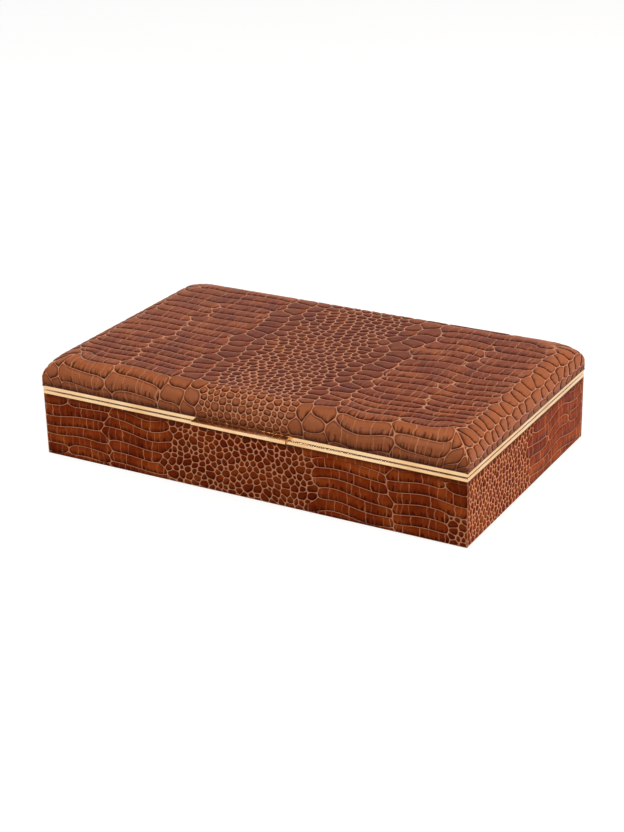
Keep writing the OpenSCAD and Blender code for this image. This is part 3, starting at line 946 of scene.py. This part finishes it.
def eased(node, name, width, segments=2):
    """A brass copy of a construction node with its sharp edges rounded over."""
    source = frame["nodes"][node]
    mesh = source.data.copy()
    mesh.name = name
    work = bmesh.new()
    work.from_mesh(mesh)
    bmesh.ops.remove_doubles(work, verts=work.verts, dist=1e-6)
    bmesh.ops.dissolve_limit(work, angle_limit=math.radians(1), verts=work.verts,
                             edges=work.edges)
    sharp = [e for e in work.edges
             if len(e.link_faces) == 2 and e.calc_face_angle(0) > math.radians(30)]
    bmesh.ops.bevel(work, geom=sharp, offset=width * MM, segments=segments, profile=0.5,
                    affect="EDGES", clamp_overlap=True)
    bmesh.ops.remove_doubles(work, verts=work.verts, dist=1e-7)
    work.to_mesh(mesh)
    work.free()
    mesh.materials.clear()
    mesh.materials.append(brass)
    mesh.shade_smooth()
    mesh.set_sharp_from_angle(angle=math.radians(35))
    made = put(name, mesh)
    stand_in(made, source["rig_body"], [node])
    return made


# each kind of brass piece: its new name's ending, its eased edge and its steps
EASED = {"_rim_": ("_bar", 0.25), "thumb_tab": ("_plate", 0.3),
         "hinge_leaf": ("_plate", 0.2), "hinge_pin": ("_rod", 0.3, 3)}
brass_pieces = [eased(node, node + ending, *sizes) for kind, (ending, *sizes)
                in EASED.items() for node in frame["nodes"] if kind in node]
print("brass pieces:", len(brass_pieces))

# %% [markdown]
# ## Screws, made by a node tree
#
# The hinge leaves and the thumb tab are held by small countersunk brass screws with a
# straight slot. One could be modelled and copied by hand. Geometry Nodes suit them
# better: the tree draws one screw from its sizes, puts it on each point of a small
# mesh, turns it over where the point says that its head looks down, and leaves each
# slot at an angle of its own, as a screwdriver does.

# %% Growing a mesh from a node tree
def new_tree(name, sizes):
    """A Geometry Nodes tree with a geometry in and out and a named input per size:
    the tree, what adds nodes to it, and its inputs as wires."""
    tree = bpy.data.node_groups.new(name, "GeometryNodeTree")
    shape = {"name": "Geometry", "socket_type": "NodeSocketGeometry"}
    tree.interface.new_socket(in_out="INPUT", **shape)
    for size in sizes:
        tree.interface.new_socket(size, in_out="INPUT", socket_type="NodeSocketFloat")
    tree.interface.new_socket(in_out="OUTPUT", **shape)
    given = tree.nodes.new("NodeGroupInput").outputs
    wires = {key: Wire(tree, given[key]) for key in ("Geometry", *sizes)}
    return tree, partial(add, tree), wires


def close_tree(node, copies, material):
    """Ends a tree: the copies are made real and get their material."""
    real = node("RealizeInstances", {"Geometry": copies})
    node("NodeGroupOutput",
         {0: node("SetMaterial", {"Geometry": real, "Material": material})})


def grown(name, start, tree, sizes, body, nodes):
    """A plain mesh grown by a tree on a start object, which it replaces."""
    modifier = start.modifiers.new("shape", "NODES")
    modifier.node_group = tree
    for item in tree.interface.items_tree:
        if item.in_out == "INPUT" and item.name in sizes:
            modifier[item.identifier] = sizes[item.name] * MM
    depsgraph = bpy.context.evaluated_depsgraph_get()
    mesh = bpy.data.meshes.new_from_object(start.evaluated_get(depsgraph),
                                           depsgraph=depsgraph)
    mesh.name = name
    mesh.shade_smooth()
    mesh.set_sharp_from_angle(angle=math.radians(35))
    start.modifiers.remove(modifier)
    bpy.data.objects.remove(start)
    made = put(name, mesh)
    stand_in(made, body, nodes)
    print(name, triangles(made), "triangles")


# %% The screw tree
SCREW = {"Head radius": 1.9, "Head height": 0.9, "Shank radius": 0.9, "Length": 8.0,
         "Slot width": 0.5, "Slot depth": 0.45}


def at_height(part, z):
    """A part moved up or down."""
    lift = add(part.tree, "ShaderNodeCombineXYZ", {"Z": z})
    return add(part.tree, "Transform", {"Geometry": part, "Translation": lift})


def screw_tree(material):
    tree, node, size = new_tree("countersunk_screws", SCREW)
    head_h, shank, length = [size[k] for k in ("Head height", "Shank radius", "Length")]
    head = node("MeshCone", {
        "Vertices": 40, "Radius Top": size["Head radius"], "Radius Bottom": shank,
        "Depth": head_h})
    slot = node("ShaderNodeCombineXYZ", {"X": 0.006, "Y": size["Slot width"],
                                         "Z": size["Slot depth"] * 2.0})
    slot = node("MeshCube", {"Size": slot})
    head = node("MeshBoolean",
                {"Mesh 1": at_height(head, head_h * -1.0), "Mesh 2": slot},
                operation="DIFFERENCE", solver="EXACT")
    # the rod under the head, its point, and a thread wound round it in eight turns
    long = length - head_h - 0.001
    rod = node("MeshCylinder", {"Vertices": 20, "Radius": shank * 0.8,
                                            "Depth": long})
    point = node("MeshCone", {
        "Vertices": 20, "Radius Top": shank * 0.8, "Radius Bottom": 0.0001, "Depth": 0.001})
    wound = shank * 0.84
    spiral = node("CurveSpiral", {
        "Resolution": 16, "Rotations": 8.0, "Start Radius": wound, "End Radius": wound,
        "Height": long * 0.94})
    ridge = node("CurvePrimitiveCircle", {"Resolution": 3,
                                                      "Radius": shank * 0.15})
    thread = node("CurveToMesh", {"Curve": spiral, "Profile Curve": ridge,
                                              "Fill Caps": True})
    one = node("JoinGeometry")
    for part in (at_height(thread, long * -0.97 - head_h), at_height(point, length * -1.0),
                 at_height(rod, long * -0.5 - head_h), head):
        feed(one.socket.node, {0: part})
    # half a turn about X where the head looks down, and any turn about Z
    down = node("InputNamedAttribute", {"Name": "down"}, data_type="FLOAT")
    spin = node("FunctionNodeRandomValue", {2: 0.0, 3: 3.14, "Seed": 4}, out=1,
                data_type="FLOAT")
    turn = node("ShaderNodeCombineXYZ", {"X": down * math.pi, "Z": spin})
    turn = node("FunctionNodeEulerToRotation", {"Euler": turn})
    copies = node("InstanceOnPoints", {
        "Points": size["Geometry"], "Instance": one, "Rotation": turn})
    close_tree(node, copies, material)
    return tree


# %% Screws of each body
# where the screws stand: the hinges, the steps along a leaf, and under the thumb tab
HINGE_X, LEAF_STEP, SCREW_Y, TAB_X = 105, 50 / 3, 102.55, 26
leaf_x = [way * HINGE_X + step for way in (-1, 1) for step in (-LEAF_STEP, 0, LEAF_STEP)]
base_top = box_of("base_hinge_screws_left")[1][2]
lid_low = box_of("lid_hinge_screws_left")[0][2]
HINGE_SCREWS = ["_hinge_screws_left", "_hinge_screws_right"]
screw_nodes = screw_tree(brass)
for body, height, down, more, nodes in (
        ("base", base_top, 0.0, (), []),
        ("lid", lid_low, 1.0, (-TAB_X, TAB_X), ["tab_screws"])):
    spots = [(x, SCREW_Y, height) for x in leaf_x] + [(x, -SCREW_Y, height) for x in more]
    holder = mesh_piece(body + "_screw_spots", spots, [],
                        data={"down": [down] * len(spots)})
    grown(body + "_slotted_screws", holder, screw_nodes, SCREW, body,
          [body + name for name in HINGE_SCREWS] + nodes)

# %% [markdown]
# ## Suede linings
#
# Inside, the walls, the floor and the lid are lined with thin boards covered in brown
# suede over a little wadding. Each board has soft edges, where the suede is drawn over
# the side and glued behind, and a face that is never quite even. Cloth simulation
# would be wasted on a cover 1.5 mm thick, so the rounding and the unevenness are
# computed. Suede is the flesh side of the hide, buffed to a short nap: it has no
# gloss, catches light at a glancing angle, and shows paler and darker patches
# wherever a hand has brushed the nap another way.

# %% Suede and felt
def napped(name, shades, fibre, sheen):
    """Short fibres: patches 20 to 30 mm wide, and fibres of the given spacing in mm."""
    made, shader, node = new_material(name)
    place = node("TexCoord", out="Object")
    nap = node("TexNoise", {"Vector": place, "Scale": 1 / (fibre * MM), "Detail": 4.0,
                       "Roughness": 0.7})
    brushed = node("TexNoise", {"Vector": place, "Scale": 1 / 0.025, "Detail": 3.0,
                           "Distortion": 0.2})
    feed(shader, {
        "Base Color": node("ValToRGB", {0: nap * 0.7 + brushed * 0.3},
                           stops=list(zip((0.36, 0.5, 0.64), map(ink, shades)))),
        "Roughness": node("ValToRGB", {0: nap}, stops=[(0.3, 0.82), (0.7, 0.97)]),
        "Normal": node("Bump", {"Height": nap, "Strength": 0.6,
                                          "Distance": 0.0003}),
        "Specular IOR Level": 0.1, "Sheen Weight": sheen, "Sheen Roughness": 0.4})
    return made


# fibres are about 0.3 mm apart and drawn wider here, so that they show
suede = napped("goat_suede_brushed", ("#4c2417", "#663424", "#83503b"), 0.8, 0.3)
felt = napped("wool_felt_pressed", ("#241a15", "#33271f", "#47382d"), 1.1, 0.15)


# %% Lining boards
# the face rises to its height over the first millimetre and dips over the first six
ROUNDED, DIPPED = 1.0, 6


def stations(low, high):
    """Places along one side of a board: close together at its ends."""
    ends = [0.0, 0.1, 0.3, 0.6, 1.0, 2.0]
    inner = np.linspace(low + 6, high - 6, max(2, int((high - low) / 7)))
    return np.concatenate([[low + e for e in ends], inner, [high - e for e in ends[::-1]]])


def soft_board(node, name, facing, material, uneven):
    """A covered board in the place of a node. facing says which way its face looks."""
    low, high = box_of(node)
    thin = int(np.argmin(high - low))
    a, b = [axis for axis in range(3) if axis != thin]
    across, along = stations(low[a], high[a]), stations(low[b], high[b])
    rng = np.random.default_rng(len(name) + int(high[b]))
    dips = [(rng.uniform(0.02, 0.09, 2), rng.uniform(0, TURN)) for _ in range(6)]
    thick = high[thin] - low[thin]
    back = low[thin] if facing > 0 else high[thin]
    points = []
    for u in across:
        for v in along:
            d = min(u - low[a], high[a] - u, v - low[b], high[b] - v)
            rise = 0.4 + 0.6 * math.sqrt(1 - (1 - min(d, ROUNDED)) ** 2)
            dip = 0.5 + sum(math.sin(k[0] * u + k[1] * v + c) for k, c in dips) / 12
            point = [0.0, 0.0, 0.0]
            point[a], point[b] = u, v
            point[thin] = back + facing * (thick * rise - uneven * dip * min(d / DIPPED, 1))
            points.append(point)
    n, m = len(across), len(along)
    faces = [(i * m + j, (i + 1) * m + j, (i + 1) * m + j + 1, i * m + j + 1)
             for i in range(n - 1) for j in range(m - 1)]
    # the side and the back: the border again, flat on the wood
    rim = open_borders(faces)[0]
    faces.append(tuple(band(faces, rim, len(points))[::-1]))
    for k in rim:
        points.append(list(points[k]))
        points[-1][thin] = back
    made = mesh_piece(name, points, faces)
    work = bmesh.new()
    work.from_mesh(made.data)
    bmesh.ops.recalc_face_normals(work, faces=work.faces)
    work.to_mesh(made.data)
    work.free()
    made.data.set_sharp_from_angle(angle=math.radians(50))
    made.data.materials.append(material)
    stand_in(made, frame["nodes"][node]["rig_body"], [node])
    return made


for node in frame["nodes"]:
    if "lining" in node:
        facing = 1 if node.endswith(("front", "left", "floor")) else -1
        board = soft_board(node, node + "_suede", facing, suede, 0.25)
pad = soft_board("underside_pad", "underside_pad_felt", 1, felt, 0.0)
print("one lining has", triangles(board), "triangles, the felt pad", triangles(pad))

# %% [markdown]
# ## Bumpers
#
# Four small discs of hard brown leather, with the nap of the suede, stand in blind
# holes in the lower brass edge and carry the closed lid, so that brass never touches
# brass. They are turned on a lathe in real life and here too: one outline goes round
# once, and a node tree then puts a copy at each corner of a rectangle.

# %% Bumpers
def turned_disc(name, outline, steps=32):
    """A closed shape turned from an outline of radius and height that starts and ends
    on the axis."""
    points, faces = [(0, 0, outline[0][1]), (0, 0, outline[-1][1])], []
    inner = outline[1:-1]
    for radius, height in inner:
        points += [(radius * math.cos(math.tau * k / steps),
                    radius * math.sin(math.tau * k / steps), height) for k in range(steps)]
    last = 2 + (len(inner) - 1) * steps
    for k in range(steps):
        j = (k + 1) % steps
        faces += [(0, 2 + j, 2 + k), (1, last + k, last + j)]
        faces += [(low + k, low + j, low + steps + j, low + steps + k)
                  for low in range(2, last, steps)]
    return mesh_piece(name, points, faces)


def corner_tree(material):
    tree, node, size = new_tree("at_the_corners", ["Across", "Deep", "Height"])
    corners = node("MeshGrid", {"Size X": size["Across"], "Size Y": size["Deep"],
                                            "Vertices X": 2, "Vertices Y": 2})
    copies = node("InstanceOnPoints", {
        "Points": at_height(corners, size["Height"]), "Instance": size["Geometry"]})
    close_tree(node, copies, material)
    return tree


low, high = box_of("rim_bumpers")
wide, deep, tall = high - low
RADIUS = 2.5
disc = turned_disc("bumper", [
    (0, 0), (RADIUS - 0.2, 0), (RADIUS, 0.2), (RADIUS, tall - 0.45), (2.42, tall - 0.22),
    (2.2, tall - 0.08), (1.7, tall - 0.02), (0.9, tall), (0, tall)])
spread = {"Across": wide - 2 * RADIUS, "Deep": deep - 2 * RADIUS, "Height": low[2]}
grown("rim_bumper_discs", disc, corner_tree(suede), spread, "base", ["rim_bumpers"])

# %% [markdown]
# ## The wooden body
#
# Under the leather is a box of poplar boards. Nearly all of it is covered, but a part
# that someone may take apart deserves its wood. Poplar is pale and plain, with a
# straight grain that follows the length of each board, and a sanded face has fine
# pores and no gloss. The construction model's boards have the right shape, so they
# stay and only get this finish, once for boards along the front and once for those
# along the sides.

# %% Poplar
def poplar(name, stretch):
    made, shader, node = new_material(name)
    lines = node("Mapping", {"Vector": node("TexCoord", out="Object"),
                                       "Scale": stretch})
    grain = node("TexNoise", {"Vector": lines, "Scale": 1.0, "Detail": 4.0,
                              "Distortion": 0.8})
    feed(shader, {
        "Base Color": node("ValToRGB", {0: grain}, stops=[
            (0.3, ink("#a98355")), (0.5, ink("#c29c69")), (0.7, ink("#d3b380"))]),
        "Roughness": node("ValToRGB", {0: grain}, stops=[(0.3, 0.68), (0.7, 0.55)]),
        "Normal": node("Bump", {"Height": grain, "Strength": 0.4,
                                          "Distance": 0.0002})})
    return made


# growth lines 2 to 4 mm apart, drawn out 15 times as long as they are wide
long_boards = poplar("poplar_sanded_long", (20, 300, 300))
cross_boards = poplar("poplar_sanded_cross", (300, 20, 300))
boards = [node for node in frame["nodes"] if node.endswith(("_wall", "_rail", "_board"))]
for node in boards:
    materials = frame["nodes"][node].data.materials
    materials.clear()
    materials.append(cross_boards if "left" in node or "right" in node else long_boards)
print("boards:", len(boards))

# %% [markdown]
# ## The studio
#
# A white table in a white room, as for a catalogue. The key light stands low on the
# right and makes the right side the brightest. A smaller one at the front left is low
# too, so that the thumb tab throws a narrow shadow under itself. A weak one overhead
# lights the top. The photographer's side of the room is dark.

# %% Lamps
def soft_light(name, place, aim, size, power, colour="#ffffff"):
    data = bpy.data.lights.new(name, "AREA")
    data.size, data.energy, data.color = size, power, ink(colour)[:3]
    lamp = put(name, data)
    lamp.location = place
    lamp.rotation_euler = (Vector(aim) - Vector(place)).to_track_quat("-Z", "Y").to_euler()


soft_light("key_right", (2.2, 0.3, 0.95), (0, 0, 0.04), 1.0, 30, "#fff6ec")
soft_light("front_left", (-0.9, -1.9, 1.45), (0, 0, 0.05), 0.5, 22)
soft_light("overhead", (0, 0.2, 2.2), (0, 0, 0.05), 1.2, 8)
print("lamps:", len(bpy.data.lights))


# %% Room and table
def background_share(node):
    """1 for what shows the background: the camera, and rays off metal or through glass."""
    seen, glossy, through = [node("LightPath", out="Is " + ray + " Ray")
                             for ray in ("Camera", "Glossy", "Transmission")]
    return seen.or_more(glossy).or_more(through)


world = bpy.data.worlds.new("white_room")
bpy.context.scene.world = world
world.use_nodes = True
node = partial(add, world.node_tree)
strength = node("MapRange", {"Value": background_share(node), "To Min": 0.24,
                                       "To Max": 1.0})
# the photographer's side of the room is dark, which gives the metal its dark edges
way = node("TexCoord", out="Generated")
front = node("SeparateXYZ", {"Vector": way}, out="Y")
room = node("MapRange", {"Value": front, "From Min": -0.6, "From Max": -0.2,
                                   "To Min": 0.08, "To Max": 1.0})
seen = node("LightPath", out="Is Camera Ray")
feed(world.node_tree.nodes["Background"],
     {"Color": (1, 1, 1, 1), "Strength": strength * room.or_more(seen)})

floor_mesh = bpy.data.meshes.new("floor")
floor_mesh.from_pydata([(-6, -6, 0), (6, -6, 0), (6, 6, 0), (-6, 6, 0)], [], [(0, 1, 2, 3)])
floor = put("floor", floor_mesh)
floor.location.z = -0.0002
paper = bpy.data.materials.new("paper_sweep_white")
paper.use_nodes = True
paper.node_tree.nodes.clear()
node = partial(add, paper.node_tree)
sheet, thin = [node("BsdfDiffuse", {"Color": ink(grey)})
               for grey in ("#b4b2b0", "#a9a8a6")]
glow = node("Emission", {"Color": (1, 1, 1, 1), "Strength": 0.84})
bright = node("AddShader", {0: thin, 1: glow})
both = node("MixShader", {0: background_share(node), 1: sheet, 2: bright})
node("OutputMaterial", {"Surface": both})
floor_mesh.materials.append(paper)
bpy.context.scene.view_settings.view_transform = "Standard"
print("room and table made")
